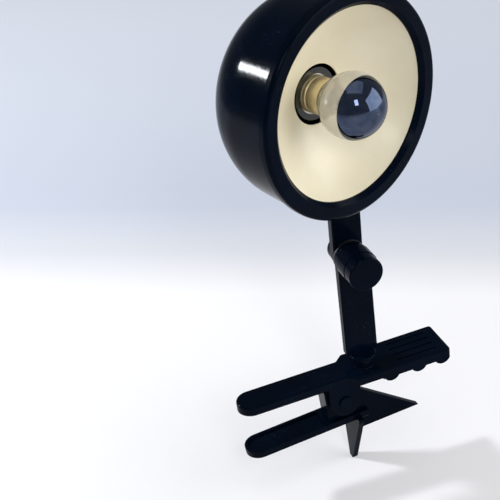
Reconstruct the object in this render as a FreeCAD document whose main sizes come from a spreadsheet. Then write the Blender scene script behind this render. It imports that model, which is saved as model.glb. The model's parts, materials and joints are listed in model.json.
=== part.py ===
import FreeCAD, Part
import math
import os
import Sketcher

# Clamp lamp with a round drum head on a hinged two-bar arm.
# Lengths in millimetres, +Z up, the lamp shines towards -Y.
# The origin is the middle of the upper jaw's grip face.

doc = FreeCAD.newDocument("ClampLamp")
sheet = doc.addObject("Spreadsheet::Sheet", "Sizes")
sheet_rows = []
nodes = []


class Dim:
    """A length with its value and the sheet formula that gives it."""

    def __init__(self, value, text):
        self.value = value
        self.text = text

    def __add__(self, other):
        other = dim(other)
        return Dim(self.value + other.value, "(" + self.text + " + " + other.text + ")")

    def __radd__(self, other):
        return dim(other) + self

    def __sub__(self, other):
        other = dim(other)
        return Dim(self.value - other.value, "(" + self.text + " - " + other.text + ")")

    def __rsub__(self, other):
        return dim(other) - self

    def __mul__(self, factor):
        factor = dim(factor)
        return Dim(self.value * factor.value, "(" + self.text + " * " + factor.text + ")")

    def __truediv__(self, factor):
        factor = dim(factor)
        return Dim(self.value / factor.value, "(" + self.text + " / " + factor.text + ")")

    def __neg__(self):
        return Dim(-self.value, "(0 - " + self.text + ")")


def root(amount):
    return Dim(math.sqrt(dim(amount).value), "sqrt(" + dim(amount).text + ")")


def cosine(angle):
    return Dim(math.cos(math.radians(dim(angle).value)), "cos(" + dim(angle).text + ")")


def sine(angle):
    return Dim(math.sin(math.radians(dim(angle).value)), "sin(" + dim(angle).text + ")")


def dim(thing):
    return thing if isinstance(thing, Dim) else Dim(float(thing), repr(float(thing)))


def size(alias, value, note):
    """Write one driving dimension into the sheet."""
    sheet_rows.append(alias)
    row = str(len(sheet_rows))
    sheet.set("A" + row, alias)
    sheet.set("B" + row, str(value))
    sheet.set("C" + row, note)
    sheet.setAlias("B" + row, alias)
    return Dim(float(value), "Sizes." + alias)


# Clamp levers
stem_x = size("stem_x", 68, "stem axis ahead of the middle of the grip face")
jaw_width = size("jaw_width", 22, "width of both jaws")
jaw_thick = size("jaw_thick", 7.2, "upper lever thickness")
jaw_reach = size("jaw_reach", 102, "jaw tip to stem axis")
body_width = size("body_width", 34, "width of the lever behind the shoulders")
shoulder_reach = size("shoulder_reach", 12, "stem axis to the end of the shoulders")
shoulder_run = size("shoulder_run", 6.5, "length of the sloping shoulders")
handle_reach = size("handle_reach", 64, "stem axis to the end of the handle")
handle_drop = size("handle_drop", 8.4, "height of the handle's side wall")
handle_wall = size("handle_wall", 2.6, "thickness of the handle's walls")
handle_start = size("handle_start", 8, "stem axis to the hollow of the handle")
finger_drop = size("finger_drop", 3.4, "height of the finger bumps")
finger_first = size("finger_first", 15, "stem axis to the first finger bump")
finger_second = size("finger_second", 37.6, "stem axis to the second finger bump")
finger_third = size("finger_third", 57, "stem axis to the third finger bump")
finger_radius = size("finger_radius", 6.5, "radius of the finger bumps")
finger_root = size("finger_root", 0.8, "finger bumps let into the side wall")
groove_width = size("groove_width", 1.4, "width of the thumb grooves")
groove_depth = size("groove_depth", 0.9, "depth of the thumb grooves")
groove_pitch = size("groove_pitch", 7, "distance between the thumb grooves")
groove_length = size("groove_length", 32, "length of the thumb grooves")
groove_inset = size("groove_inset", 9, "end of the handle to the grooves")
groove_count = size("groove_count", 4, "number of thumb grooves")
edge_radius = size("edge_radius", 1.6, "rounding of the lever's top edges")
corner_radius = size("corner_radius", 2.4, "rounding of the handle's two end corners")
lower_edge = size("lower_edge", 1.3, "rounding of the lower lever's underside")
throat_reach = size("throat_reach", 36, "stem axis to the back of the mouth")
mouth_gap = size("mouth_gap", 30.5, "upper jaw to lower jaw at the back of the mouth")
lower_thick = size("lower_thick", 6, "lower lever thickness")
lower_end = size("lower_end", 5, "stem axis to the end of the lower lever's plate")
dish_rim = size("dish_rim", 2.2, "rim round the hollow in the lower jaw")
dish_depth = size("dish_depth", 1.6, "depth of the hollow in the lower jaw")
jaw_spread = size("jaw_spread", 4, "angle by which the jaws gape at rest, degrees")

# Clamp pivot
pivot_reach = size("pivot_reach", 21.5, "pivot to stem axis")
pivot_drop = size("pivot_drop", 15.5, "pivot below the grip face")
cheek_wall = size("cheek_wall", 3, "thickness of the pivot cheeks")
cheek_radius = size("cheek_radius", 12.5, "radius of the cheeks round the pivot")
lug_wall = size("lug_wall", 2.5, "thickness of the lower lever's lugs")
side_gap = size("side_gap", 0.4, "gap between lugs and cheeks")
pin_radius = size("pin_radius", 3, "pivot pin radius")
pin_fit = size("pin_fit", 0.05, "radial clearance of a pin that turns")
rivet_radius = size("rivet_radius", 5, "rivet head radius")
rivet_stand = size("rivet_stand", 0.1, "rivet heads clear of the cheeks")
rivet_height = size("rivet_height", 1.4, "rivet head height")
spring_wire = size("spring_wire", 1.8, "torsion spring wire diameter")
spring_radius = size("spring_radius", 5.4, "torsion spring mean radius")
spring_pitch = size("spring_pitch", 2.4, "torsion spring pitch")
spring_turns = size("spring_turns", 3, "torsion spring turns")
spring_seat = size("spring_seat", 0.8, "recess in the lower lever for the spring's leg")
spring_clear = size("spring_clear", 2.7, "spring's upper leg below the upper lever")

# Fin and tail blade under the clamp
fin_drop = size("fin_drop", 42, "length of the fin below the lower lever")
fin_width = size("fin_width", 32, "width of the fin at the lower lever")
fin_thick = size("fin_thick", 4.2, "thickness of the fin")
fin_tip = size("fin_tip", 5, "width of the fin's tip")
fin_reach = size("fin_reach", 13.6, "fin to stem axis")
fin_lean = size("fin_lean", 6, "lean of the fin towards the jaw over its length")
throat_wall = size("throat_wall", 2.5, "wall at the back of the mouth")
blade_reach = size("blade_reach", 38.8, "stem axis to the point of the tail blade")
blade_drop = size("blade_drop", 16.4, "tail blade below the lower lever")
blade_rise = size("blade_rise", 20, "height of the tail blade above the lower lever's underside")
blade_thick = size("blade_thick", 4, "thickness of the tail blade")

# Turret and arms
turret_radius = size("turret_radius", 9.7, "turret radius")
turret_height = size("turret_height", 8.2, "turret height")
washer_thick = size("washer_thick", 0.8, "thickness of the flat washers")
screw_radius = size("screw_radius", 3, "radius of the turret screw")
screw_head = size("screw_head", 6, "radius of the turret screw's head")
screw_head_height = size("screw_head_height", 3, "height of the turret screw's head")
screw_sink = size("screw_sink", 0.2, "turret screw's head above the grip face, in its counterbore")
counterbore_gap = size("counterbore_gap", 0.3, "radial gap round the turret screw's head")
turret_roof = size("turret_roof", 1.6, "turret left above its screw")
washer_inset = size("washer_inset", 0.5, "flat washers inside the piece above them")
hinge_z = size("hinge_z", 97, "hinge axis above the grip face")
lower_bar_width = size("lower_bar_width", 25.2, "lower arm width")
lower_bar_thick = size("lower_bar_thick", 7.2, "lower arm thickness")
bar_setback = size("bar_setback", 0.5, "front of the lower arm behind the stem axis")
upper_bar_width = size("upper_bar_width", 22.8, "upper arm width")
upper_bar_thick = size("upper_bar_thick", 8, "upper arm thickness")
arm_gap = size("arm_gap", 2, "gap between the arms, filled by the friction washer")
upper_bar_length = size("upper_bar_length", 39.5, "hinge axis to the top of the upper arm")
boss_radius = size("boss_radius", 13.4, "radius of the hinge boss")
boss_length = size("boss_length", 11.5, "length of the hinge boss ahead of the lower arm")
knob_radius = size("knob_radius", 13, "radius of the hinge knob")
knob_length = size("knob_length", 9.4, "length of the hinge knob")
knob_gap = size("knob_gap", 0.3, "gap behind the knob")
knob_face = size("knob_face", 2.8, "face of the knob left before its bore")
bolt_short = size("bolt_short", 1, "end of the hinge bolt short of the knob's face")
bolt_radius = size("bolt_radius", 3, "hinge bolt radius")
nut_flats = size("nut_flats", 10, "hinge nut across flats")
nut_height = size("nut_height", 4, "hinge nut height")
cap_radius = size("cap_radius", 11, "radius of the far hinge cap")
cap_length = size("cap_length", 6.5, "length of the far hinge cap")
cap_wall = size("cap_wall", 1.8, "wall of the far hinge cap")
elbow_lean = size("elbow_lean", 1.1, "lean of the upper arm at rest, degrees")
bar_edge = size("bar_edge", 1.2, "rounding of the arms' edges")

# Head
head_swivel = size("head_swivel", 21.6, "turn of the head at rest, degrees")
head_pitch = size("head_pitch", 1.6, "upward tilt of the head on its collar, degrees")
swivel_depth = size("swivel_depth", 18.2, "swivel axis behind the front of the ring")
drum_radius = size("drum_radius", 78.6, "outer radius of the drum behind the ring")
ring_step = size("ring_step", 1.4, "ring beyond the drum's radius")
ring_face = size("ring_face", 10, "width of the ring's face")
lip_width = size("lip_width", 2.9, "width of the ring's lip over the reflector")
ring_lip_depth = size("ring_lip_depth", 2.7, "depth of the ring's lip")
ring_lip_thick = size("ring_lip_thick", 1.5, "thickness of the ring's lip")
ring_depth = size("ring_depth", 6.5, "depth of the ring")
ring_round = size("ring_round", 3, "rounding of the ring's outer edge")
spigot_length = size("spigot_length", 5, "length of the ring's spigot")
spigot_wall = size("spigot_wall", 1.6, "wall of the ring's spigot")
spigot_fit = size("spigot_fit", 0.1, "radial gap between spigot and drum")
drum_taper = size("drum_taper", 4.5, "taper of the drum's side, degrees")
drum_wall = size("drum_wall", 2.2, "wall of the drum")
drum_side = size("drum_side", 38, "front of the ring to the end of the straight side")
drum_depth = size("drum_depth", 80, "front of the ring to the back")
drum_back_radius = size("drum_back_radius", 48, "radius of the flat back")
vent_radius = size("vent_radius", 31, "radius of the ring of vent slots")
vent_width = size("vent_width", 3.5, "width of a vent slot")
vent_length = size("vent_length", 13, "length of a vent slot")
vent_count = size("vent_count", 16, "number of vent slots")

# Reflector
sheet_thick = size("sheet_thick", 1, "reflector sheet thickness along its axis")
flange_width = size("flange_width", 4.9, "width of the reflector's flange behind the lip")
hole_radius = size("hole_radius", 21.5, "reflector hole radius")
hole_depth = size("hole_depth", 35.6, "front of the ring to the reflector hole")
dish_radius = size("dish_radius", 82, "radius of the reflector's curve")

# Lamp holder and bulb
holder_radius = size("holder_radius", 18.6, "lamp holder radius")
holder_front = size("holder_front", 37.5, "front of the ring to the lamp holder's rim")
holder_length = size("holder_length", 27, "lamp holder length")
holder_skirt = size("holder_skirt", 13.5, "length of the lamp holder's wide part")
holder_step = size("holder_step", 2.5, "step in the lamp holder's outline")
holder_floor = size("holder_floor", 6, "thickness of the lamp holder's floor")
shell_inset = size("shell_inset", 1.5, "threaded shell behind the holder's rim")
shell_length = size("shell_length", 19.5, "length of the threaded shell")
holder_stud = size("holder_stud", 4, "radius of the holder's centre contact")
shell_thick = size("shell_thick", 0.5, "threaded shell wall")
thread_depth = size("thread_depth", 0.5, "depth of the lamp thread")
thread_pitch = size("thread_pitch", 3.6, "pitch of the lamp thread")
cap_skirt = size("cap_skirt", 11, "plain part of the bulb cap")
thread_fit = size("thread_fit", 0.15, "gap between cap and threaded shell")
cap_outer = size("cap_outer", 13.1, "radius of the bulb cap")
cap_height = size("cap_height", 22, "height of the bulb cap")
cap_end = size("cap_end", 7.2, "radius of the bulb cap's inner end")
thread_flank = size("thread_flank", 3.24, "radius of a rolled thread")
globe_radius = size("globe_radius", 23.2, "radius of the bulb's globe")
globe_depth = size("globe_depth", 2.2, "front of the ring to the centre of the globe")
neck_length = size("neck_length", 21, "centre of the globe to the cap")
glass_thick = size("glass_thick", 1, "bulb glass wall")
mirror_radius = size("mirror_radius", 22, "rim radius of the mirrored crown")
mirror_thick = size("mirror_thick", 0.25, "thickness of the mirrored crown")
contact_radius = size("contact_radius", 5, "radius of the bulb's contact at the cap")
contact_tip = size("contact_tip", 3.5, "radius of the bulb's contact at its tip")
contact_height = size("contact_height", 2, "bulb contact height")
nipple_radius = size("nipple_radius", 5, "radius of the threaded nipple")
nipple_bore = size("nipple_bore", 3.5, "bore of the nipple, where the cord goes in")
nipple_out = size("nipple_out", 7, "nipple beyond the drum's back")
nipple_in = size("nipple_in", 3, "nipple inside the lamp holder's floor")
back_nut_flats = size("back_nut_flats", 14, "nut on the nipple across flats")
back_nut_height = size("back_nut_height", 4, "height of the nut on the nipple")

# Head collar
collar_radius = size("collar_radius", 11.5, "radius of the swivel collar")
collar_height = size("collar_height", 2.5, "lowest gap from the collar's washer to the drum")
collar_screw = size("collar_screw", 2.5, "radius of the collar screw")
collar_screw_head = size("collar_screw_head", 4, "radius of the collar screw's head")
collar_screw_depth = size("collar_screw_depth", 7.5, "collar screw inside the upper arm")
collar_socket = size("collar_socket", 10, "depth of the upper arm's hole for the collar screw")
collar_overlap = size("collar_overlap", 6, "collar stub past the drum before its seat is cut")
screw_play = size("screw_play", 0.5, "radial play of the collar screw in the drum")
doc.recompute()

TURN = 360
HALF_CIRCLE = 1.999
PAST = 1
DISC_AXIS = FreeCAD.Vector(0, 0, 1)
ORIGIN = FreeCAD.Vector(0, 0, 0)
X_AXIS = FreeCAD.Vector(1, 0, 0)
Y_AXIS = FreeCAD.Vector(0, 1, 0)
Z_AXIS = FreeCAD.Vector(0, 0, 1)


def move(x=0, y=0, z=0):
    x, y, z = dim(x).value, dim(y).value, dim(z).value
    return FreeCAD.Placement(FreeCAD.Vector(x, y, z), FreeCAD.Rotation())


def turn(axis, degrees):
    return FreeCAD.Placement(ORIGIN, FreeCAD.Rotation(axis, dim(degrees).value))


# Radii and heights that follow from the sizes
ring_radius = drum_radius + ring_step
ring_mouth = ring_radius - ring_face
ring_lip = ring_mouth - lip_width
flange_radius = ring_lip + flange_width
head_rise = upper_bar_length + washer_thick + collar_height + drum_radius
jaw_half = jaw_width / 2
body_half = body_width / 2

# Frames of the moving groups
clamp_frame = move(stem_x)
pivot_frame = clamp_frame * move(-pivot_reach, 0, -pivot_drop)
lower_frame = pivot_frame * turn(Y_AXIS, -jaw_spread)
hinge_frame = clamp_frame * move(0, 0, hinge_z)
upper_frame = hinge_frame * turn(Y_AXIS, elbow_lean)
upper_bar_front = bar_setback + lower_bar_thick + arm_gap
swivel_y = upper_bar_front + upper_bar_thick / 2
swivel_frame = upper_frame * move(0, swivel_y, 0) * turn(Z_AXIS, head_swivel)
head_local = move(0, -swivel_depth, head_rise) * turn(X_AXIS, 90 - head_pitch)
head_frame = swivel_frame * head_local
ALONG_Y = turn(X_AXIS, 90)


def bind(thing, name, amount):
    thing.setExpression(name, dim(amount).text)


def new_body(label):
    body = doc.addObject("PartDesign::Body", label)
    body.Label = label
    return body


def plane(body, role):
    return next(f for f in body.Origin.OriginFeatures if f.Role == role)


def new_sketch(body, role, offset=0):
    """Sketch on one of the body's own planes, moved along its normal."""
    sketch = body.newObject("Sketcher::SketchObject", body.Name + "_sketch")
    sketch.AttachmentSupport = [(plane(body, role), "")]
    sketch.MapMode = "FlatFace"
    sketch.AttachmentOffset = move(0, 0, offset)
    bind(sketch, ".AttachmentOffset.Base.z", offset)
    return sketch


def pin_point(sketch, index, end, x, y):
    """Fix one end of a line or the centre of a circle at sheet values."""
    for kind, amount in (("DistanceX", x), ("DistanceY", y)):
        amount = dim(amount)
        rule = Sketcher.Constraint(kind, -1, 1, index, end, amount.value)
        where = sketch.addConstraint(rule)
        sketch.setExpression("Constraints[%d]" % where, amount.text)


def draw(sketch, corners):
    """Closed outline; a corner with a third entry starts an arc of that radius
    to the next corner, anticlockwise if positive and clockwise if negative."""
    first = sketch.GeometryCount
    count = len(corners)
    starts = []
    for i, corner in enumerate(corners):
        following = corners[(i + 1) % count]
        start = FreeCAD.Vector(dim(corner[0]).value, dim(corner[1]).value, 0)
        end = FreeCAD.Vector(dim(following[0]).value, dim(following[1]).value, 0)
        starts.append(1)
        if len(corner) == 2:
            sketch.addGeometry(Part.LineSegment(start, end))
            continue
        if dim(corner[2]).value < 0:
            start, end = end, start
            starts[i] = 2
        radius = abs(dim(corner[2]).value)
        chord = end - start
        normal = FreeCAD.Vector(-chord.y, chord.x, 0).normalize()
        inset = math.sqrt(max(radius ** 2 - (chord.Length / 2) ** 2, 0))
        centre = (start + end) * 0.5 + normal * inset
        begin = math.atan2(start.y - centre.y, start.x - centre.x)
        finish = math.atan2(end.y - centre.y, end.x - centre.x)
        if finish <= begin:
            finish += math.tau
        circle = Part.Circle(centre, DISC_AXIS, radius)
        sketch.addGeometry(Part.ArcOfCircle(circle, begin, finish))
    for i in range(count):
        following = (i + 1) % count
        joint = (first + i, 3 - starts[i], first + following, starts[following])
        sketch.addConstraint(Sketcher.Constraint("Coincident", *joint))
    for i, corner in enumerate(corners):
        pin_point(sketch, first + i, starts[i], corner[0], corner[1])
        if len(corner) == 2:
            continue
        following = corners[(i + 1) % count]
        across = abs(dim(following[0] - corner[0]).value)
        along = abs(dim(following[1] - corner[1]).value)
        radius = dim(corner[2])
        amount = radius if radius.value > 0 else -radius
        rule = ("Radius", first + i)
        if math.hypot(across, along) > amount.value * HALF_CIRCLE:
            axis = 0 if along > across else 1
            rule = (("DistanceX", "DistanceY")[axis], -1, 1, first + i, 3)
            amount = dim(corner[axis] + following[axis]) / 2
        where = sketch.addConstraint(Sketcher.Constraint(*rule, amount.value))
        sketch.setExpression("Constraints[%d]" % where, amount.text)


def draw_circle(sketch, x, y, radius):
    x, y, radius = dim(x), dim(y), dim(radius)
    circle = Part.Circle(FreeCAD.Vector(x.value, y.value, 0), DISC_AXIS, radius.value)
    index = sketch.addGeometry(circle)
    pin_point(sketch, index, 3, x, y)
    where = sketch.addConstraint(Sketcher.Constraint("Radius", index, radius.value))
    sketch.setExpression("Constraints[%d]" % where, radius.text)


def box_corners(x0, x1, y0, y1):
    return [(x0, y0), (x1, y0), (x1, y1), (x0, y1)]


def pad(body, sketch, length, midplane=False):
    feature = body.newObject("PartDesign::Pad", body.Name + "_pad")
    feature.Profile = sketch
    bind(feature, "Length", length)
    feature.Midplane = midplane
    doc.recompute()
    return feature


def pocket(body, sketch, length, midplane=False, back=False):
    feature = body.newObject("PartDesign::Pocket", body.Name + "_pocket")
    feature.Profile = sketch
    bind(feature, "Length", length)
    feature.Midplane = midplane
    feature.Reversed = back
    before = body.Shape.Volume
    doc.recompute()
    if body.Shape.Volume >= before:
        raise RuntimeError("pocket cuts nothing in " + body.Label)
    return feature


def spin(body, corners):
    """Solid of revolution about Z; the outline is given as radius, height."""
    sketch = new_sketch(body, "XZ_Plane")
    draw(sketch, corners)
    feature = body.newObject("PartDesign::Revolution", body.Name + "_spin")
    feature.Profile = sketch
    feature.ReferenceAxis = (sketch, ["V_Axis"])
    feature.Angle = TURN
    doc.recompute()
    return feature


def round_edges(body, chosen, radius):
    """Round the edges of the body's tip that the test picks."""
    tip = body.Tip
    names = ["Edge%d" % (i + 1) for i, edge in enumerate(tip.Shape.Edges) if chosen(edge)]
    if not names:
        raise RuntimeError("no edge to round in " + body.Label)
    feature = body.newObject("PartDesign::Fillet", body.Name + "_fillet")
    feature.Base = (tip, names)
    bind(feature, "Radius", radius)
    doc.recompute()
    return feature


def near(value, target, slack=1e-4):
    return abs(value - dim(target).value) < slack


def ends(edge):
    return [v.Point for v in edge.Vertexes]


def keep(thing, label, placement):
    """Register a finished sub-part under its node name."""
    thing.Label = label
    thing.Placement = placement
    nodes.append(thing)
    return thing


def cylinder(radius, height, name="cylinder"):
    thing = doc.addObject("Part::Cylinder", name)
    bind(thing, "Radius", radius)
    bind(thing, "Height", height)
    return thing


def tube(label, outer, inner, height, placement):
    """Washer or bush along its own Z."""
    body = new_body(label)
    sketch = new_sketch(body, "XY_Plane")
    draw_circle(sketch, 0, 0, outer)
    draw_circle(sketch, 0, 0, inner)
    pad(body, sketch, height)
    return keep(body, label, placement)


def hex_corners(flats):
    reach = dim(flats).value / math.sqrt(3)
    angles = [math.radians(60 * i) for i in range(6)]
    return [(dim(flats) * (reach * math.cos(a) / dim(flats).value),
             dim(flats) * (reach * math.sin(a) / dim(flats).value)) for a in angles]


def hex_nut(label, flats, bore, height, placement):
    body = new_body(label)
    sketch = new_sketch(body, "XY_Plane")
    draw(sketch, hex_corners(flats))
    draw_circle(sketch, 0, 0, bore)
    pad(body, sketch, height)
    return keep(body, label, placement)


def upper_lever():
    """Peg lever: round jaw tip, shoulders, hollow handle with finger bumps,
    thumb grooves and two cheeks that carry the pivot."""
    body = new_body("upper_lever")
    outline = new_sketch(body, "XY_Plane")
    tip = jaw_half - jaw_reach
    shoulder = -(shoulder_reach + shoulder_run)
    draw(outline, [(tip, -jaw_half), (shoulder, -jaw_half), (-shoulder_reach, -body_half),
                   (handle_reach, -body_half), (handle_reach, body_half),
                   (-shoulder_reach, body_half), (shoulder, jaw_half), (tip, jaw_half, jaw_half)])
    pad(body, outline, jaw_thick)
    walls = new_sketch(body, "XY_Plane", jaw_thick - handle_drop)
    draw(walls, box_corners(handle_start, handle_reach, -body_half, body_half))
    pad(body, walls, handle_drop - jaw_thick / 2)
    round_edges(body, lambda e: all(near(p.x, handle_reach) for p in ends(e))
                and near(abs(e.CenterOfMass.y), body_half), corner_radius)
    round_edges(body, lambda e: all(near(p.z, jaw_thick) for p in ends(e)), edge_radius)
    bumps = new_sketch(body, "XZ_Plane")
    foot = jaw_thick - handle_drop
    for middle in (finger_first, finger_second, finger_third):
        centre = foot - finger_drop + finger_radius
        rise = centre - foot - finger_root
        side = root(finger_radius * finger_radius - rise * rise)
        draw(bumps, [(middle - side, foot + finger_root, finger_radius),
                     (middle + side, foot + finger_root)])
    pad(body, bumps, body_width, midplane=True)
    cheeks = new_sketch(body, "XZ_Plane")
    front = -pivot_reach - cheek_radius
    back = cheek_radius - pivot_reach
    draw(cheeks, [(front, jaw_thick / 2), (front, -pivot_drop, cheek_radius),
                  (back, -pivot_drop), (back, jaw_thick / 2)])
    pad(body, cheeks, jaw_width, midplane=True)
    hollow = new_sketch(body, "XY_Plane", jaw_thick - handle_drop - finger_drop)
    inner = body_half - handle_wall
    draw(hollow, box_corners(handle_start + handle_wall, handle_reach - handle_wall, -inner, inner))
    pocket(body, hollow, finger_drop + handle_drop - handle_wall, back=True)
    slot = new_sketch(body, "XY_Plane", -pivot_drop - cheek_radius * 2)
    draw(slot, box_corners(front - PAST, back + PAST, cheek_wall - jaw_half, jaw_half - cheek_wall))
    pocket(body, slot, pivot_drop + cheek_radius * 2, back=True)
    grooves = new_sketch(body, "XY_Plane", jaw_thick)
    end = handle_reach - groove_inset
    for i in range(int(groove_count.value)):
        y = groove_pitch * (i - (groove_count.value - 1) / 2)
        draw(grooves, box_corners(end - groove_length, end, y - groove_width / 2, y + groove_width / 2))
    pocket(body, grooves, groove_depth)
    holes = new_sketch(body, "XZ_Plane")
    draw_circle(holes, -pivot_reach, -pivot_drop, pin_radius)
    pocket(body, holes, body_width * 2, midplane=True)
    screw_hole = new_sketch(body, "XY_Plane", jaw_thick)
    draw_circle(screw_hole, 0, 0, screw_radius + pin_fit)
    pocket(body, screw_hole, jaw_thick * 2)
    counterbore = new_sketch(body, "XY_Plane")
    draw_circle(counterbore, 0, 0, screw_head + counterbore_gap)
    pocket(body, counterbore, screw_sink + screw_head_height, back=True)
    return keep(body, "upper_lever", clamp_frame)


def lower_lever():
    """Lower jaw, lugs round the pivot, pointed tail blade and cross fin."""
    body = new_body("lower_lever")
    top = pivot_drop - mouth_gap
    under = top - lower_thick
    tip = jaw_half - jaw_reach + pivot_reach
    throat = pivot_reach - throat_reach
    back = pivot_reach - lower_end
    outline = new_sketch(body, "XY_Plane", under)
    draw(outline, [(tip, -jaw_half), (back, -jaw_half), (back, jaw_half), (tip, jaw_half, jaw_half)])
    pad(body, outline, lower_thick)
    round_edges(body, lambda e: all(near(p.z, under) for p in ends(e)), lower_edge)
    dish = new_sketch(body, "XY_Plane", top)
    rim = jaw_half - dish_rim
    end = throat - dish_rim * 2
    draw(dish, [(tip, -rim), (end, -rim), (end, rim), (tip, rim, rim)])
    pocket(body, dish, dish_depth)
    lugs = new_sketch(body, "XZ_Plane")
    sink = lower_thick / 2
    draw(lugs, [(throat, top - sink), (back, top - sink), (cheek_radius, 0, cheek_radius),
                (0, cheek_radius), (throat, cheek_radius)])
    lug_span = jaw_width - cheek_wall * 2 - side_gap * 2
    pad(body, lugs, lug_span, midplane=True)
    hollow = new_sketch(body, "XY_Plane", top - spring_seat)
    inner = lug_span / 2 - lug_wall
    draw(hollow, box_corners(throat + throat_wall, back + PAST, -inner, inner))
    pocket(body, hollow, mouth_gap + spring_seat, back=True)
    fin = new_sketch(body, "XZ_Plane")
    middle = pivot_reach - fin_reach
    half = fin_thick / 2
    foot = under - fin_drop
    draw(fin, [(middle - half - fin_lean, foot), (middle + half - fin_lean, foot),
               (middle + half, top - sink), (middle - half, top - sink)])
    pad(body, fin, fin_width, midplane=True)
    corners = new_sketch(body, "YZ_Plane")
    for side in (1, -1):
        edge = fin_width / 2 * side
        outside = (fin_width / 2 + PAST) * side
        draw(corners, [(edge, under), (outside, under), (outside, foot - PAST),
                       (fin_tip / 2 * side, foot - PAST), (fin_tip / 2 * side, foot)])
    pocket(body, corners, jaw_width * 4, midplane=True)
    blade = new_sketch(body, "XZ_Plane")
    low = under - blade_drop
    draw(blade, [(middle, low), (pivot_reach + blade_reach, low), (back, under + blade_rise),
                 (back - blade_thick, under + blade_rise), (back - blade_thick, top - sink),
                 (middle, top - sink)])
    pad(body, blade, blade_thick, midplane=True)
    holes = new_sketch(body, "XZ_Plane")
    draw_circle(holes, 0, 0, pin_radius + pin_fit)
    pocket(body, holes, body_width * 2, midplane=True)
    return keep(body, "lower_lever", lower_frame)


def pivot_pin():
    """Rivet through the cheeks with a domed head at each end."""
    half = jaw_half + rivet_stand
    shank = cylinder(pin_radius, half * 2, "pin_shank")
    shank.Placement = move(0, 0, -half)
    heads = []
    for side in (-1, 1):
        head = cylinder(rivet_radius, rivet_height, "rivet_head")
        head.Placement = move(0, 0, half if side > 0 else -half - rivet_height)
        heads.append(head)
    joined = doc.addObject("Part::MultiFuse", "pivot_pin")
    joined.Shapes = [shank] + heads
    return keep(joined, "pivot_pin", pivot_frame * ALONG_Y)


def torsion_spring():
    """Coil round the pivot pin with a leg down to the lower lever and one up."""
    wire = spring_wire.value / 2
    height = spring_pitch.value * spring_turns.value
    helix = Part.makeHelix(spring_pitch.value, height, spring_radius.value)
    start = FreeCAD.Vector(spring_radius.value, 0, 0)
    end = FreeCAD.Vector(spring_radius.value, 0, height)
    section = Part.Wire(Part.makeCircle(wire, start, Y_AXIS))
    coil = Part.Wire(helix.Edges).makePipeShell([section], True, True)
    down = mouth_gap.value - pivot_drop.value + spring_seat.value
    up = pivot_drop.value - spring_clear.value
    lower_leg = Part.makeCylinder(wire, down, start, -Y_AXIS)
    upper_leg = Part.makeCylinder(wire, up, end, Y_AXIS)
    thing = doc.addObject("Part::Feature", "torsion_spring")
    thing.Shape = coil.fuse([lower_leg, upper_leg])
    print("torsion spring gap", round(spring_pitch.value - spring_wire.value, 2))
    place = lower_frame * ALONG_Y * move(0, 0, -height / 2)
    return keep(thing, "torsion_spring", place)


def turret():
    """Round base that turns on the clamp and carries the lower arm."""
    body = new_body("turret")
    sketch = new_sketch(body, "XY_Plane")
    draw_circle(sketch, 0, 0, turret_radius)
    pad(body, sketch, turret_height)
    round_edges(body, lambda e: near(e.CenterOfMass.z, turret_height), bar_edge)
    bore = new_sketch(body, "XY_Plane")
    draw_circle(bore, 0, 0, screw_radius)
    pocket(body, bore, turret_height - turret_roof, back=True)
    return keep(body, "turret", clamp_frame * move(0, 0, jaw_thick + washer_thick))


def turret_screw():
    """Screw from below that holds the turret on the lever."""
    head = cylinder(screw_head, screw_head_height, "turret_screw_head")
    below = screw_sink + screw_head_height
    shank_length = jaw_thick - below + washer_thick + turret_height - turret_roof
    shank = cylinder(screw_radius, shank_length, "turret_screw_shank")
    shank.Placement = move(0, 0, screw_head_height)
    joined = doc.addObject("Part::Fuse", "turret_screw")
    joined.Base = head
    joined.Tool = shank
    return keep(joined, "turret_screw", clamp_frame * move(0, 0, screw_sink))


def bar_outline(width, top, bottom):
    """Flat bar with a round end about the hinge axis at the sketch's origin."""
    half = width / 2
    if dim(bottom).value < 0:
        return [(-half, 0), (-half, bottom), (half, bottom), (half, 0, half)]
    return [(half, 0), (half, top), (-half, top), (-half, 0, half)]


def lower_arm():
    """Flat bar on the turret with the long hinge boss at its top."""
    body = new_body("lower_arm")
    foot = jaw_thick + washer_thick + turret_height - hinge_z
    sketch = new_sketch(body, "XZ_Plane", -bar_setback)
    draw(sketch, bar_outline(lower_bar_width, 0, foot))
    feature = pad(body, sketch, lower_bar_thick)
    feature.Reversed = True
    doc.recompute()
    round_edges(body, lambda e: isinstance(e.Curve, Part.Line)
                and near(abs(e.CenterOfMass.x), lower_bar_width / 2), bar_edge)
    boss = new_sketch(body, "XZ_Plane", -bar_setback)
    draw_circle(boss, 0, 0, boss_radius)
    pad(body, boss, boss_length)
    bore = new_sketch(body, "XZ_Plane")
    draw_circle(bore, 0, 0, bolt_radius + pin_fit)
    pocket(body, bore, (boss_length + lower_bar_thick) * 3, midplane=True)
    return keep(body, "lower_arm", hinge_frame)


def upper_arm():
    """Shorter bar from the hinge to the head's collar."""
    body = new_body("upper_arm")
    sketch = new_sketch(body, "XZ_Plane", -upper_bar_front)
    draw(sketch, bar_outline(upper_bar_width, upper_bar_length, 0))
    feature = pad(body, sketch, upper_bar_thick)
    feature.Reversed = True
    doc.recompute()
    round_edges(body, lambda e: isinstance(e.Curve, Part.Line)
                and near(abs(e.CenterOfMass.x), upper_bar_width / 2), bar_edge)
    bore = new_sketch(body, "XZ_Plane", -upper_bar_front)
    draw_circle(bore, 0, 0, bolt_radius)
    pocket(body, bore, upper_bar_thick * 3, midplane=True)
    socket = new_sketch(body, "XY_Plane", upper_bar_length)
    draw_circle(socket, 0, swivel_y, collar_screw + pin_fit)
    pocket(body, socket, collar_socket)
    return keep(body, "upper_arm", upper_frame)


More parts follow.
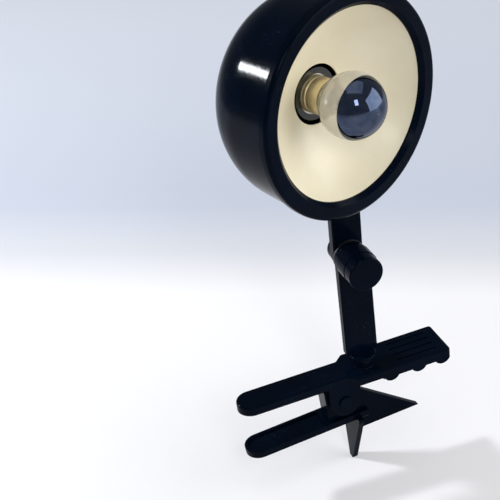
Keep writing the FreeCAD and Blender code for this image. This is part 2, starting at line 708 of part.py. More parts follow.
def hinge_knob():
    """Round clamping knob on the near end of the hinge bolt."""
    body = new_body("hinge_knob")
    sketch = new_sketch(body, "XY_Plane")
    draw_circle(sketch, 0, 0, knob_radius)
    pad(body, sketch, knob_length)
    round_edges(body, lambda e: near(e.CenterOfMass.z, knob_length), bar_edge)
    bore = new_sketch(body, "XY_Plane")
    draw_circle(bore, 0, 0, bolt_radius + pin_fit)
    pocket(body, bore, knob_length - knob_face, back=True)
    front = boss_length - bar_setback + knob_gap
    return keep(body, "hinge_knob", upper_frame * ALONG_Y * move(0, 0, front))


def hinge_bolt():
    """Stud through the boss and both arms."""
    far = upper_bar_front + upper_bar_thick + nut_height
    near_end = boss_length - bar_setback + knob_gap + knob_length - knob_face - bolt_short
    stud = cylinder(bolt_radius, far + near_end, "hinge_bolt")
    return keep(stud, "hinge_bolt", upper_frame * ALONG_Y * move(0, 0, -far))


def hinge_cap():
    """Cap over the nut on the far side."""
    body = new_body("hinge_cap")
    spin(body, [(0, 0), (cap_radius, 0), (cap_radius, cap_length), (cap_radius - cap_wall, cap_length),
                (cap_radius - cap_wall, cap_wall), (0, cap_wall)])
    round_edges(body, lambda e: near(e.CenterOfMass.z, 0) and near(e.BoundBox.XMax, cap_radius), bar_edge)
    far = upper_bar_front + upper_bar_thick + cap_length
    return keep(body, "hinge_cap", upper_frame * ALONG_Y * move(0, 0, -far))


def ring():
    """Front ring with a rounded face, a lip over the reflector and a spigot."""
    body = new_body("front_ring")
    seat = ring_lip_depth + ring_lip_thick
    spigot = drum_radius - drum_wall / cosine(drum_taper) - spigot_fit
    spigot = spigot - spigot_length * sine(drum_taper) / cosine(drum_taper)
    bottom = ring_depth + spigot_length
    spin(body, [(ring_mouth, 0), (ring_radius - ring_round, 0, -ring_round), (ring_radius, -ring_round),
                (ring_radius, -ring_depth), (spigot, -ring_depth), (spigot, -bottom),
                (spigot - spigot_wall, -bottom), (spigot - spigot_wall, -seat), (ring_lip, -seat),
                (ring_lip, -ring_lip_depth)])
    return keep(body, "front_ring", head_frame)


def drum_waist():
    """Outer radius of the drum where its tapered side ends."""
    return drum_radius - (drum_side - ring_depth) * sine(drum_taper) / cosine(drum_taper)


def drum_shell():
    """Turned drum: straight side, wide rounded shoulder, flat back with vents."""
    body = new_body("drum_shell")
    wall = drum_wall
    lean_cos = cosine(drum_taper)
    lean_sin = sine(drum_taper)
    waist = drum_waist()
    bend = drum_depth - drum_side
    step = waist - drum_back_radius
    outer = (bend * bend + step * step) / ((step * lean_cos - bend * lean_sin) * 2)
    inner = outer - wall
    centre_z = outer * lean_sin - drum_side
    deep = drum_depth - wall + centre_z
    inner_back = waist - outer * lean_cos + root(inner * inner - deep * deep)
    spin(body, [(drum_radius, -ring_depth), (waist, -drum_side, -outer),
                (drum_back_radius, -drum_depth), (nipple_radius, -drum_depth),
                (nipple_radius, wall - drum_depth), (inner_back, wall - drum_depth, inner),
                (waist - wall * lean_cos, wall * lean_sin - drum_side),
                (drum_radius - wall / lean_cos, -ring_depth)])
    slot = new_sketch(body, "XY_Plane", -drum_depth)
    half = vent_width / 2
    near_end = vent_radius - vent_length / 2
    far_end = vent_radius + vent_length / 2
    draw(slot, [(near_end, half, half), (near_end, -half), (far_end, -half, half), (far_end, half)])
    cut = pocket(body, slot, drum_wall * 2, back=True)
    pattern = body.newObject("PartDesign::PolarPattern", "vent_pattern")
    pattern.Originals = [cut]
    pattern.Axis = (plane(body, "Z_Axis"), [""])
    pattern.Angle = TURN
    bind(pattern, "Occurrences", vent_count)
    body.Tip = pattern
    doc.recompute()
    foot = new_sketch(body, "XZ_Plane")
    foot_z = swivel_depth * cosine(head_pitch) + drum_radius * sine(head_pitch)
    draw_circle(foot, 0, -foot_z, collar_screw + screw_play)
    pocket(body, foot, drum_radius * 1.2, back=True)
    return keep(body, "drum_shell", head_frame)


def reflector():
    """Spun dish with a flange behind the ring's lip and a hole for the bulb."""
    body = new_body("reflector")
    front = -(ring_lip_depth + ring_lip_thick)
    back = front - sheet_thick
    spin(body, [(flange_radius, front), (flange_radius, back), (ring_lip, back, -dish_radius),
                (hole_radius, -hole_depth - sheet_thick), (hole_radius, -hole_depth, dish_radius),
                (ring_lip, front)])
    return keep(body, "reflector", head_frame)


def lamp_holder():
    """Moulded holder body, open at the front."""
    body = new_body("holder_body")
    front = -holder_front
    back = front - holder_length
    bore = cap_outer + thread_fit + thread_depth + shell_thick
    floor = back + holder_floor
    waist = holder_radius - holder_step
    spin(body, [(bore, front), (holder_radius, front), (holder_radius, front - holder_skirt),
                (waist, front - holder_skirt - holder_step), (waist, back),
                (nipple_radius, back), (nipple_radius, floor), (bore, floor)])
    return keep(body, "holder_body", head_frame)


def threaded_shell():
    """Brass shell with a rolled thread inside the holder."""
    body = new_body("holder_shell")
    front = -holder_front - shell_inset
    back = front - shell_length
    inner = cap_outer + thread_fit
    outer = inner + thread_depth + shell_thick
    spin(body, [(inner, front), (outer, front), (outer, back), (inner, back)])
    return keep(body, "holder_shell", head_frame)


def holder_contact():
    """Sprung centre contact at the bottom of the holder."""
    top = -(globe_depth + neck_length + cap_height + contact_height)
    floor = holder_floor - holder_front - holder_length
    stud = cylinder(holder_stud, top - floor, "holder_contact")
    return keep(stud, "holder_contact", head_frame * move(0, 0, floor))


def nipple():
    """Threaded tube that carries the holder; the cord passes through it."""
    inside = nipple_in - holder_front - holder_length
    outside = -drum_depth - nipple_out
    return tube("nipple", nipple_radius, nipple_bore, inside - outside, head_frame * move(0, 0, outside))


def back_nuts():
    """Two nuts that grip the drum's back, inside and outside."""
    bore = nipple_radius
    outer = -drum_depth - back_nut_height
    hex_nut("back_nut", back_nut_flats, bore, back_nut_height, head_frame * move(0, 0, outer))
    inner = drum_wall - drum_depth
    hex_nut("inner_nut", back_nut_flats, bore, back_nut_height, head_frame * move(0, 0, inner))


def bulb_glass():
    """Hollow globe running into a neck that ends at the cap."""
    body = new_body("bulb_glass")
    centre = -globe_depth
    neck_radius = cap_outer - glass_thick
    join = root(globe_radius * globe_radius - neck_radius * neck_radius)
    inner_radius = globe_radius - glass_thick
    inner_neck = neck_radius - glass_thick
    inner_join = root(inner_radius * inner_radius - inner_neck * inner_neck)
    foot = centre - neck_length
    spin(body, [(0, centre + globe_radius, -globe_radius), (globe_radius, centre, -globe_radius),
                (neck_radius, centre - join), (neck_radius, foot), (inner_neck, foot),
                (inner_neck, centre - inner_join, inner_radius), (inner_radius, centre, inner_radius),
                (0, centre + inner_radius)])
    return keep(body, "bulb_glass", head_frame)


def bulb_mirror():
    """Mirrored crown over the front of the globe."""
    body = new_body("bulb_mirror")
    outer = globe_radius + mirror_thick
    rim = mirror_radius
    rise_in = root(globe_radius * globe_radius - rim * rim)
    rim_out = rim * outer / globe_radius
    rise_out = rise_in * outer / globe_radius
    spin(body, [(0, outer - globe_depth, -outer), (rim_out, rise_out - globe_depth),
                (rim, rise_in - globe_depth, globe_radius), (0, globe_radius - globe_depth)])
    return keep(body, "bulb_mirror", head_frame)


def bulb_cap():
    """Brass screw cap with a rolled thread."""
    body = new_body("bulb_cap")
    top = -(globe_depth + neck_length)
    root_radius = cap_outer - thread_depth
    count = int((cap_height.value - cap_skirt.value) / thread_pitch.value)
    start = top - cap_skirt
    points = [(0, top), (cap_outer, top), (cap_outer, start + thread_depth)]
    for i in range(count):
        points.append((root_radius, start - thread_pitch * i, -thread_flank))
    points.append((root_radius, start - thread_pitch * count))
    points.append((cap_end, top - cap_height))
    points.append((0, top - cap_height))
    spin(body, points)
    return keep(body, "bulb_cap", head_frame)


def bulb_contact():
    """Dark insulator and contact at the end of the cap."""
    foot = -(globe_depth + neck_length + cap_height + contact_height)
    cone = doc.addObject("Part::Cone", "bulb_contact")
    bind(cone, "Radius1", contact_tip)
    bind(cone, "Radius2", contact_radius)
    bind(cone, "Height", contact_height)
    return keep(cone, "bulb_contact", head_frame * move(0, 0, foot))


def head_collar():
    """Swivel collar, hollowed on top to seat on the tapered drum."""
    bottom = upper_bar_length + washer_thick
    height = head_rise - drum_radius - bottom + collar_overlap
    stub = cylinder(collar_radius, height, "collar_stub")
    hole = cylinder(collar_screw + pin_fit, height * 2, "collar_hole")
    hole.Placement = move(0, 0, -height / 2)
    drum = doc.addObject("Part::Cone", "collar_seat")
    bind(drum, "Radius1", drum_waist())
    bind(drum, "Radius2", drum_radius)
    bind(drum, "Height", drum_side - ring_depth)
    drum.Placement = move(0, 0, -bottom) * head_local * move(0, 0, -drum_side)
    tools = doc.addObject("Part::MultiFuse", "collar_tools")
    tools.Shapes = [hole, drum]
    cut = doc.addObject("Part::Cut", "head_collar")
    cut.Base = stub
    cut.Tool = tools
    return keep(cut, "head_collar", swivel_frame * move(0, 0, bottom))


def collar_bolt():
    """Screw from inside the drum down through the collar into the arm."""
    seat = head_rise - drum_waist() + drum_wall
    tip = upper_bar_length - collar_screw_depth
    shank = cylinder(collar_screw, seat - tip + collar_screw / 2, "collar_bolt_shank")
    head = cylinder(collar_screw_head, collar_screw, "collar_bolt_head")
    head.Placement = move(0, 0, seat - tip)
    joined = doc.addObject("Part::Fuse", "collar_bolt")
    joined.Base = shank
    joined.Tool = head
    return keep(joined, "collar_bolt", swivel_frame * move(0, 0, tip))


upper_lever()
lower_lever()
pivot_pin()
torsion_spring()
turret()
turret_screw()
tube("turret_washer", turret_radius - washer_inset, screw_radius + pin_fit, washer_thick,
     clamp_frame * move(0, 0, jaw_thick))
lower_arm()
upper_arm()
hinge_knob()
hinge_bolt()
hinge_cap()
tube("friction_washer", boss_radius - washer_inset * 2, bolt_radius, arm_gap,
     upper_frame * ALONG_Y * move(0, 0, -upper_bar_front))
hex_nut("hinge_nut", nut_flats, bolt_radius, nut_height,
        upper_frame * ALONG_Y * move(0, 0, -(upper_bar_front + upper_bar_thick + nut_height)))
ring()
drum_shell()
reflector()
lamp_holder()
threaded_shell()
holder_contact()
nipple()
back_nuts()
bulb_glass()
bulb_mirror()
bulb_cap()
bulb_contact()
head_collar()
collar_bolt()
tube("collar_washer", collar_radius - washer_inset, collar_screw + pin_fit, washer_thick,
     swivel_frame * move(0, 0, upper_bar_length))

doc.recompute()
for thing in doc.Objects:
    if "Invalid" in thing.State or "Error" in thing.State:
        raise RuntimeError("failed object " + thing.Name + " " + str(thing.State))
for thing in nodes:
    if thing.Shape.isNull() or not thing.Shape.isValid() or not thing.Shape.Solids:
        raise RuntimeError("bad shape " + thing.Label)

os.makedirs("parts", exist_ok=True)
for thing in nodes:
    thing.Shape.exportStep(os.path.join("parts", thing.Label + ".step"))
print(len(nodes), "nodes written")
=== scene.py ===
import json
import math

import bmesh
import bpy
from mathutils import Matrix, Vector


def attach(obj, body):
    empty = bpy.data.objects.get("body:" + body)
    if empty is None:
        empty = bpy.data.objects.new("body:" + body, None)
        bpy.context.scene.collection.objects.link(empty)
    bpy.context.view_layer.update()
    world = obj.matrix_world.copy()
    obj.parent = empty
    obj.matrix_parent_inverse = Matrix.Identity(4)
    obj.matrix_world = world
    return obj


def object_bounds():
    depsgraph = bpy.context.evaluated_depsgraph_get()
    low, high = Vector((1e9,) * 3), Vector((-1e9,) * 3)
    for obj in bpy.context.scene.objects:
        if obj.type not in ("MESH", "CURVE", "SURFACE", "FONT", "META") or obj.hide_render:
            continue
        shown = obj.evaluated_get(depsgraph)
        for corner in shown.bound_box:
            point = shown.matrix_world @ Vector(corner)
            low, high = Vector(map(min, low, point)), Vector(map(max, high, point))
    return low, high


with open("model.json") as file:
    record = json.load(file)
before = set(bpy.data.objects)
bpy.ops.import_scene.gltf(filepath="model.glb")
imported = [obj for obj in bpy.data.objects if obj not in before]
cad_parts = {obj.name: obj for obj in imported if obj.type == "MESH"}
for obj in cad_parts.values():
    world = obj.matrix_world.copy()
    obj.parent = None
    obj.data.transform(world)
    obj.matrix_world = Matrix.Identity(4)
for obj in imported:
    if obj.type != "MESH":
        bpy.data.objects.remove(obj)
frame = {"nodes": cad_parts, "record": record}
cad_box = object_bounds()
nodes = frame["nodes"]

# Places of the moving groups, in metres and degrees, as in the CAD model
STEM_X = 0.068
HINGE_Z = 0.097
ELBOW_LEAN = 1.1
SWIVEL_Y = 0.0137
HEAD_TURN = 21.6
HEAD_PITCH = 1.6
SWIVEL_DEPTH = 0.0182
HEAD_RISE = 0.1214
GLOBE_Z = -0.0022


def turn(degrees, axis):
    return Matrix.Rotation(math.radians(degrees), 4, axis)


upper_matrix = Matrix.Translation((STEM_X, 0, HINGE_Z)) @ turn(ELBOW_LEAN, "Y")
swivel_matrix = upper_matrix @ Matrix.Translation((0, SWIVEL_Y, 0)) @ turn(HEAD_TURN, "Z")
ring_centre = Matrix.Translation((0, -SWIVEL_DEPTH, HEAD_RISE))
# Head frame: +Z out of the drum's mouth, +Y up, the ring's front at z = 0
head_matrix = swivel_matrix @ ring_centre @ turn(90 - HEAD_PITCH, "X")


class Nodes:
    """Short way to write a material's node tree."""

    SOCKETS = {
        "colour": "Base Color",
        "rough": "Roughness",
        "metal": "Metallic",
        "specular": "Specular IOR Level",
        "ior": "IOR",
        "through": "Transmission Weight",
        "coat": "Coat Weight",
        "coat_rough": "Coat Roughness",
        "glow": "Emission Strength",
        "glow_colour": "Emission Color",
    }

    def __init__(self, name):
        self.material = bpy.data.materials.new(name)
        self.material.use_nodes = True
        self.tree = self.material.node_tree
        self.shader = self.tree.nodes["Principled BSDF"]
        self.place = self.add("ShaderNodeTexCoord").outputs["Object"]

    def add(self, kind, **settings):
        node = self.tree.nodes.new(kind)
        for key, value in settings.items():
            setattr(node, key, value)
        return node

    def link(self, a, b):
        self.tree.links.new(a, b)

    def feed(self, socket, value):
        """Link a socket, or set a number or a colour on it."""
        if isinstance(value, bpy.types.NodeSocket):
            self.link(value, socket)
        elif isinstance(value, tuple):
            socket.default_value = (*value, 1)
        else:
            socket.default_value = value

    def stretched(self, scale):
        """Object coordinates scaled by axis, which draws a pattern out into lines."""
        node = self.add("ShaderNodeMapping")
        node.inputs["Scale"].default_value = scale
        self.link(self.place, node.inputs["Vector"])
        return node.outputs["Vector"]

    def noise(self, scale, detail, rough, where=None):
        node = self.add("ShaderNodeTexNoise")
        self.link(where or self.place, node.inputs["Vector"])
        node.inputs["Scale"].default_value = scale
        node.inputs["Detail"].default_value = detail
        node.inputs["Roughness"].default_value = rough
        return node.outputs["Fac"]

    def ramp(self, value, stops):
        node = self.add("ShaderNodeValToRGB")
        self.link(value, node.inputs["Fac"])
        elements = node.color_ramp.elements
        while len(elements) < len(stops):
            elements.new(0.5)
        for element, (where, colour) in zip(elements, stops):
            element.position = where
            element.color = (*colour, 1)
        return node.outputs["Color"]

    def mask(self, value, low, high):
        """Black below `low`, white above `high`."""
        return self.ramp(value, [(low, (0, 0, 0)), (high, (1, 1, 1))])

    def span(self, value, low, high, to_low, to_high):
        """Map the range low..high to to_low..to_high and hold it there."""
        node = self.add("ShaderNodeMapRange")
        self.link(value, node.inputs["Value"])
        node.inputs["From Min"].default_value = low
        node.inputs["From Max"].default_value = high
        node.inputs["To Min"].default_value = to_low
        node.inputs["To Max"].default_value = to_high
        return node.outputs["Result"]

    def maths(self, kind, a, b):
        node = self.add("ShaderNodeMath", operation=kind)
        self.feed(node.inputs[0], a)
        self.feed(node.inputs[1], b)
        return node.outputs["Value"]

    def plus(self, a, b):
        return self.maths("ADD", a, b)

    def times(self, a, b):
        return self.maths("MULTIPLY", a, b)

    def mix(self, factor, a, b):
        node = self.add("ShaderNodeMix", data_type="RGBA")
        self.feed(node.inputs["Factor"], factor)
        self.feed(node.inputs["A"], a)
        self.feed(node.inputs["B"], b)
        return node.outputs["Result"]

    def bump(self, height, strength, distance):
        node = self.add("ShaderNodeBump")
        node.inputs["Strength"].default_value = strength
        node.inputs["Distance"].default_value = distance
        self.link(height, node.inputs["Height"])
        self.link(node.outputs["Normal"], self.shader.inputs["Normal"])

    def set(self, **values):
        for key, value in values.items():
            self.feed(self.shader.inputs[self.SOCKETS[key]], value)
        return self.material


def shade(colour, share):
    """A colour made darker or lighter by a share."""
    return tuple(channel * share for channel in colour)


BLACK = (0.0008, 0.003, 0.0085)
BLACK_SPECULAR = 0.03
DUST_GREY = (0.16, 0.165, 0.18)
DUST_COVER = 0.35
DUST_ROUGHNESS = 0.4


def black_plastic(name, rough, grain_scale):
    """Glossy moulded plastic: flow clouds, fine grain, rub marks and dust."""
    m = Nodes(name)
    clouds = m.noise(28, 5, 0.6)
    rubs = m.noise(260, 4, 0.6, m.stretched((1, 0.35, 4)))
    specks = m.mask(m.noise(900, 2, 0.4), 0.68, 0.76)
    patches = m.mask(m.noise(45, 3, 0.5), 0.52, 0.72)
    dust = m.times(m.times(specks, patches), DUST_COVER)
    body = m.ramp(clouds, [(0.35, shade(BLACK, 0.75)), (0.65, shade(BLACK, 1.35))])
    rubbed = m.span(rubs, 0.3, 0.75, rough * 0.8, rough * 1.45)
    grain = m.noise(grain_scale, 3, 0.5)
    ripples = m.noise(60, 2, 0.5)
    m.bump(m.plus(grain, m.times(ripples, 2.0)), 0.05, 0.0006)
    return m.set(
        colour=m.mix(dust, body, DUST_GREY),
        rough=m.plus(rubbed, m.times(dust, DUST_ROUGHNESS)),
        specular=BLACK_SPECULAR)


CREAM_DARK = (0.79, 0.72, 0.53)
CREAM_LIGHT = (0.86, 0.8, 0.62)
CREAM_WARM = (0.78, 0.69, 0.47)
CREAM_SPECK = (0.5, 0.42, 0.28)


def cream_enamel():
    """Baked cream enamel: soft clouds, broad warm patches, fine specks and a thin coat."""
    m = Nodes("cream_enamel")
    clouds = m.noise(22, 5, 0.6)
    broad = m.noise(9, 3, 0.5)
    specks = m.mask(m.noise(700, 2, 0.4), 0.7, 0.78)
    body = m.ramp(clouds, [(0.3, CREAM_DARK), (0.7, CREAM_LIGHT)])
    body = m.mix(m.span(broad, 0.4, 0.75, 0.0, 0.35), body, CREAM_WARM)
    body = m.mix(m.times(specks, 0.12), body, CREAM_SPECK)
    m.bump(m.noise(520, 3, 0.5), 0.06, 0.0005)
    return m.set(
        colour=body,
        rough=m.span(clouds, 0.3, 0.7, 0.3, 0.42),
        specular=0.45,
        coat=0.15,
        coat_rough=0.25)


def metal(name, colour, rough, stretch, tarnish=0.3):
    """Worked metal: fine drawn lines, tarnish clouds and dull spots."""
    m = Nodes(name)
    lines = m.noise(900, 3, 0.6, m.stretched(stretch))
    clouds = m.noise(130, 4, 0.6)
    m.bump(lines, 0.12, 0.0002)
    drawn = m.span(lines, 0.3, 0.7, rough, rough * 1.6)
    dull_spots = m.span(clouds, 0.5, 0.8, 0.0, 0.15)
    return m.set(
        colour=m.mix(m.span(clouds, 0.45, 0.75, 0.0, tarnish), colour, shade(colour, 0.45)),
        metal=1.0,
        rough=m.plus(drawn, dull_spots))


def matte(name, colour, rough):
    """Moulded phenolic or fibre: mottled, with a dry grain."""
    m = Nodes(name)
    clouds = m.noise(160, 5, 0.65)
    m.bump(m.noise(1100, 3, 0.6), 0.15, 0.0003)
    return m.set(
        colour=m.ramp(clouds, [(0.35, shade(colour, 0.7)), (0.65, shade(colour, 1.3))]),
        rough=m.span(clouds, 0.3, 0.7, rough * 0.85, rough * 1.15))


# Glass tints; on the globe, where the glass is partly opaque, they are the colour of its painted
# reflection
GLASS_WARM = (0.95, 0.93, 0.85)
GLASS_CLEAR = (0.99, 0.97, 0.91)
# Along the head's axis from the globe's centre: clear below the first; above the second the globe is
# rougher and partly opaque warm white, a painted reflection of the cream reflector
NECK_CLEAR = -0.019
GLOBE_PAINTED_HAZE = -0.012


def bulb_glass():
    """Blown glass, clear on the neck; on the globe it is rougher and partly opaque warm white, a
    painted reflection of the cream reflector; with slow waves and some dust.
    """
    m = Nodes("bulb_glass")
    waves = m.noise(45, 2, 0.4)
    dust = m.noise(500, 2, 0.5)
    from_centre = m.add("ShaderNodeVectorMath", operation="SUBTRACT")
    m.link(m.place, from_centre.inputs[0])
    from_centre.inputs[1].default_value = head_matrix @ Vector((0, 0, GLOBE_Z))
    along = m.add("ShaderNodeVectorMath", operation="DOT_PRODUCT")
    m.link(from_centre.outputs["Vector"], along.inputs[0])
    along.inputs[1].default_value = head_matrix.to_3x3() @ Vector((0, 0, 1))
    painted_haze = m.span(along.outputs["Value"], NECK_CLEAR, GLOBE_PAINTED_HAZE, 0.0, 1.0)
    dusty = m.span(dust, 0.5, 0.8, 0.0, 0.09)
    m.bump(waves, 0.12, 0.001)
    return m.set(
        colour=m.ramp(waves, [(0.3, GLASS_WARM), (0.7, GLASS_CLEAR)]),
        rough=m.plus(dusty, m.times(painted_haze, 0.08)),
        # Painted reflection: less transmission on the globe lets the warm white base colour show as a
        # haze
        through=m.span(painted_haze, 0.0, 1.0, 0.99, 0.7),
        ior=1.48)


# Painted reflection: dark blue metal colours for the mirror crown, standing in for the dark room it
# reflects; the clouds only vary it at random
CROWN_PAINTED_REFLECTION_DEEP = (0.04, 0.056, 0.095)
CROWN_PAINTED_REFLECTION_PALE = (0.07, 0.085, 0.13)


def bulb_mirror():
    """Silvering whose dark blue colour is a painted reflection of a dark room, with slow ripples and
    cloudy patches.
    """
    m = Nodes("bulb_mirror")
    ripples = m.noise(60, 3, 0.5)
    clouds = m.noise(180, 4, 0.6)
    m.bump(ripples, 0.05, 0.001)
    return m.set(
        colour=m.ramp(clouds, [(0.35, CROWN_PAINTED_REFLECTION_DEEP), (0.7, CROWN_PAINTED_REFLECTION_PALE)]),
        metal=1.0,
        rough=m.span(clouds, 0.4, 0.8, 0.03, 0.12))


finishes = {
    "black_plastic": black_plastic("black_plastic", 0.14, 700),
    "drum_plastic": black_plastic("drum_plastic", 0.1, 300),
    "cream_enamel": cream_enamel(),
    "steel": black_plastic("steel", 0.25, 900),
    "support_wire": metal("support_wire", (0.5, 0.5, 0.5), 0.3, (1, 6, 1)),
    "zinc": metal("zinc", (0.6, 0.6, 0.61), 0.3, (1, 1, 5)),
    "brass": metal("brass", (0.6, 0.58, 0.52), 0.22, (1, 1, 6)),
    "cap_brass": metal("cap_brass", (0.95, 0.82, 0.52), 0.32, (1, 1, 6), 0.35),
    "contact_metal": metal("contact_metal", (0.55, 0.52, 0.45), 0.3, (4, 1, 1)),
    "holder_plastic": matte("holder_plastic", (0.01, 0.01, 0.011), 0.25),
    "fibre": matte("fibre", (0.012, 0.012, 0.013), 0.6),
    "bulb_glass": bulb_glass(),
    "bulb_mirror": bulb_mirror(),
}
slot_of = {row["node"]: row["material_slot"] for row in frame["record"]["subparts"]}
for name, thing in nodes.items():
    thing.data.materials.clear()
    thing.data.materials.append(finishes[slot_of[name]])


def smooth(mesh):
    mesh.polygons.foreach_set("use_smooth", [True] * len(mesh.polygons))
    return mesh


def head_piece(name, mesh, finish):
    """Put a mesh made in the head's frame into the scene, riding on the head."""
    mesh.transform(head_matrix)
    piece = bpy.data.objects.new(name, mesh)
    bpy.context.scene.collection.objects.link(piece)
    piece.data.materials.append(finishes[finish])
    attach(piece, "head")


def wire_mesh(name, points, radius, resolution):
    """Round wire through a list of points."""
    curve = bpy.data.curves.new(name, "CURVE")
    curve.dimensions = "3D"
    spline = curve.splines.new("POLY")
    spline.points.add(len(points) - 1)
    for point, place in zip(spline.points, points):
        point.co = (*place, 1)
    curve.bevel_depth = radius
    curve.bevel_resolution = resolution
    curve.use_fill_caps = True
    helper = bpy.data.objects.new(name, curve)
    bpy.context.scene.collection.objects.link(helper)
    mesh = bpy.data.meshes.new_from_object(helper)
    bpy.data.objects.remove(helper)
    bpy.data.curves.remove(curve)
    return smooth(mesh)


def lathe_mesh(name, profile, steps):
    """Turn an outline of (radius, height) pairs about +Z. It starts and ends on the axis."""
    shape = bmesh.new()
    rings = []
    for radius, height in profile:
        if radius == 0:
            rings.append([shape.verts.new((0, 0, height))])
            continue
        ring = []
        for i in range(steps):
            angle = math.tau * i / steps
            ring.append(shape.verts.new((radius * math.cos(angle), radius * math.sin(angle), height)))
        rings.append(ring)
    for a, b in zip(rings, rings[1:]):
        for i in range(steps):
            j = (i + 1) % steps
            corners = [a[i % len(a)], a[j % len(a)], b[j % len(b)], b[i % len(b)]]
            shape.faces.new(list(dict.fromkeys(corners)))
    bmesh.ops.recalc_face_normals(shape, faces=shape.faces)
    mesh = bpy.data.meshes.new(name)
    shape.to_mesh(mesh)
    shape.free()
    return smooth(mesh)


# Inside of the bulb: glass stem, lead wires and filament
STEM_FOOT = -0.0231
STEM_STEPS = 32
LEAD_RADIUS = 0.0003
FILAMENT_HEIGHT = GLOBE_Z + 0.001
FILAMENT_REACH = 0.0105
FILAMENT_SAG = 0.004
FILAMENT_RADIUS = 0.00009
COIL_RADIUS = 0.0004
COIL_TURNS = 26
POINTS_PER_TURN = 10


def bulb_stem():
    outline = [
        (0, STEM_FOOT),
        (0.006, STEM_FOOT),
        (0.0045, STEM_FOOT + 0.006),
        (0.0022, STEM_FOOT + 0.012),
        (0.0016, GLOBE_Z - 0.008),
        (0.0022, GLOBE_Z - 0.007),
        (0, GLOBE_Z - 0.0062),
    ]
    head_piece("bulb_stem", lathe_mesh("bulb_stem", outline, STEM_STEPS), "bulb_glass")


def head_wire(name, points, radius, resolution):
    """Wire in the bulb. The record has no slot for it, so it counts as zinc there."""
    head_piece(name, wire_mesh(name, points, radius, resolution), "support_wire")


def bulb_lead(name, side):
    route = [
        (0.001 * side, 0, STEM_FOOT + 0.008),
        (0.002 * side, 0, GLOBE_Z - 0.012),
        (FILAMENT_REACH * 0.8 * side, 0, GLOBE_Z - 0.003),
        (FILAMENT_REACH * side, 0, FILAMENT_HEIGHT),
    ]
    head_wire(name, route, LEAD_RADIUS, 2)


def bulb_filament():
    """Coil between the two leads that sags in its middle."""
    count = COIL_TURNS * POINTS_PER_TURN
    coil = []
    for i in range(count + 1):
        share = i / count
        angle = math.tau * COIL_TURNS * share
        x = (share * 2 - 1) * FILAMENT_REACH
        sag = FILAMENT_SAG * math.cos(math.pi * (share - 0.5))
        y = COIL_RADIUS * math.cos(angle) - sag
        z = FILAMENT_HEIGHT + COIL_RADIUS * math.sin(angle)
        coil.append((x, y, z))
    head_wire("bulb_filament", coil, FILAMENT_RADIUS, 1)


bulb_stem()
bulb_lead("bulb_lead_a", -1)
bulb_lead("bulb_lead_b", 1)
bulb_filament()

# Camera at the photograph's viewing angle
CAMERA = Vector((-0.2209, -0.7254, 0.6008))
FORWARD = Vector((0.2397, 0.8152, -0.5271)).normalized()
ROUGH_RIGHT = Vector((0.9291, -0.3502, -0.1190))
RIGHT = (ROUGH_RIGHT - FORWARD * ROUGH_RIGHT.dot(FORWARD)).normalized()
UP = RIGHT.cross(FORWARD)
LENS = 93.6
SENSOR_WIDTH = 36

camera_data = bpy.data.cameras.new("camera")
camera_data.lens = LENS
camera_data.sensor_width = SENSOR_WIDTH
camera = bpy.data.objects.new("camera", camera_data)
camera.matrix_world = Matrix((
    (RIGHT.x, UP.x, -FORWARD.x, CAMERA.x),
    (RIGHT.y, UP.y, -FORWARD.y, CAMERA.y),
    (RIGHT.z, UP.z, -FORWARD.z, CAMERA.z),
    (0, 0, 0, 1)))
bpy.context.scene.collection.objects.link(camera)
bpy.context.scene.camera = camera
bpy.context.scene.view_settings.view_transform = "Standard"

# Stage: one wide floor whose tone changes behind the lamp, level across the picture
FLOOR_LEVEL = cad_box[0][2]
HALF_WIDTH = 4.0
EDGE_START = 0.26
EDGE_END = 0.42
BACK_START = 0.46
FAR_DEPTH = 1.2
FLOOR_TONE = (0.76, 0.75, 0.76)
# Painted shade: the edge tone and the back tone are darker than the floor and the far tone, a shaded
# corner where the floor turns into the blue-grey backdrop
FLOOR_EDGE_PAINTED_SHADE = (0.58, 0.59, 0.62)
BACK_TONE_WITH_PAINTED_SHADE = (0.48, 0.51, 0.585)
FAR_TONE = (0.625, 0.65, 0.7)
GLOW = 0.3


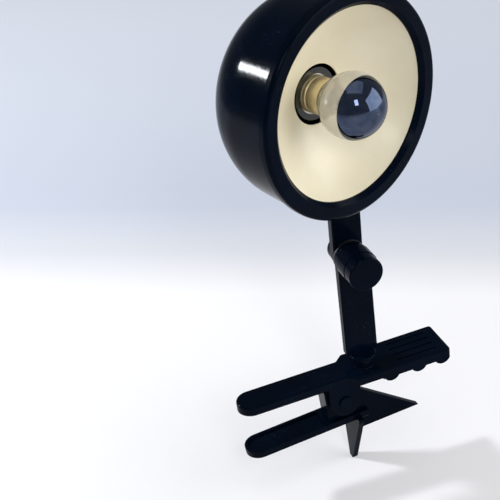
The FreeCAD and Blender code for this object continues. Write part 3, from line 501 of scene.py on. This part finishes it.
def stage_material():
    """Pale floor with a faint grain that turns blue-grey behind the lamp; where it turns, a darker
    band is painted shade of the corner between floor and backdrop, and it lightens again further
    back.
    """
    m = Nodes("stage")
    place = m.add("ShaderNodeSeparateXYZ")
    m.link(m.place, place.inputs[0])
    grain = m.noise(3, 3, 0.5)
    depth = m.plus(place.outputs["Y"], m.times(grain, 0.03))
    # Painted shade: across this span the floor darkens into the band where it meets the backdrop
    backdrop_and_shade_blend = m.span(depth, EDGE_START, EDGE_END, 0.0, 1.0)
    tone = m.ramp(backdrop_and_shade_blend, [(0.0, FLOOR_TONE), (0.45, FLOOR_EDGE_PAINTED_SHADE), (1.0, BACK_TONE_WITH_PAINTED_SHADE)])
    tone = m.mix(m.span(depth, BACK_START, FAR_DEPTH, 0.0, 1.0), tone, FAR_TONE)
    tone = m.mix(m.span(grain, 0.3, 0.8, 0.0, 0.05), tone, FAR_TONE)
    m.bump(m.noise(420, 3, 0.5), 0.05, 0.0005)
    path = m.add("ShaderNodeLightPath").outputs
    seen = m.maths("MAXIMUM", path["Is Glossy Ray"], path["Is Transmission Ray"])
    seen = m.maths("MAXIMUM", path["Is Camera Ray"], seen)
    return m.set(
        colour=tone,
        rough=0.8,
        specular=0.1,
        glow_colour=tone,
        glow=m.times(seen, GLOW))


def stage():
    shape = bmesh.new()
    bmesh.ops.create_grid(shape, x_segments=1, y_segments=1, size=HALF_WIDTH)
    bmesh.ops.translate(shape, verts=shape.verts, vec=(0, 0, FLOOR_LEVEL))
    mesh = bpy.data.meshes.new("stage")
    shape.to_mesh(mesh)
    shape.free()
    floor = bpy.data.objects.new("stage", mesh)
    across = UP.cross(Vector((0, 0, 1))).normalized()
    floor.matrix_world = Matrix.Rotation(math.atan2(across.y, across.x), 4, "Z")
    bpy.context.scene.collection.objects.link(floor)
    floor.data.materials.append(stage_material())


stage()

# Lamps: places and sizes in metres, power in watts
MIDDLE = Vector((0.06, 0, 0.15))
DRUM = Vector((0.03, -0.02, 0.24))
WINDOW_DISTANCE = 1.6
TO_WINDOW = Vector((-0.738, 0.583, 0.349)).normalized() * WINDOW_DISTANCE
DAYLIGHT = (0.93, 0.96, 1.0)
WHITE = (1, 1, 1)
SKY = (0.86, 0.89, 0.95, 1)
SKY_STRENGTH = 0.3


def area_light(name, place, target, size, power, colour):
    data = bpy.data.lights.new(name, "AREA")
    data.shape = "RECTANGLE"
    data.size, data.size_y = size
    data.energy = power
    data.color = colour
    light = bpy.data.objects.new(name, data)
    light.location = place
    light.rotation_euler = (target - Vector(place)).to_track_quat("-Z", "Y").to_euler()
    bpy.context.scene.collection.objects.link(light)


area_light("window", DRUM + TO_WINDOW, DRUM, (0.22, 0.11), 22, DAYLIGHT)
area_light("front_fill", (2.05, -1.1, 0.62), MIDDLE, (2.6, 2.0), 48, WHITE)
area_light("catch_light", (-0.1, -1.6, 1.3), MIDDLE, (0.36, 0.6), 7, WHITE)
area_light("top", (0.35, -0.1, 2.0), MIDDLE, (1.6, 1.6), 6, WHITE)

world = bpy.data.worlds.new("studio")
bpy.context.scene.world = world
world.use_nodes = True
background = world.node_tree.nodes["Background"]
background.inputs["Color"].default_value = SKY
background.inputs["Strength"].default_value = SKY_STRENGTH
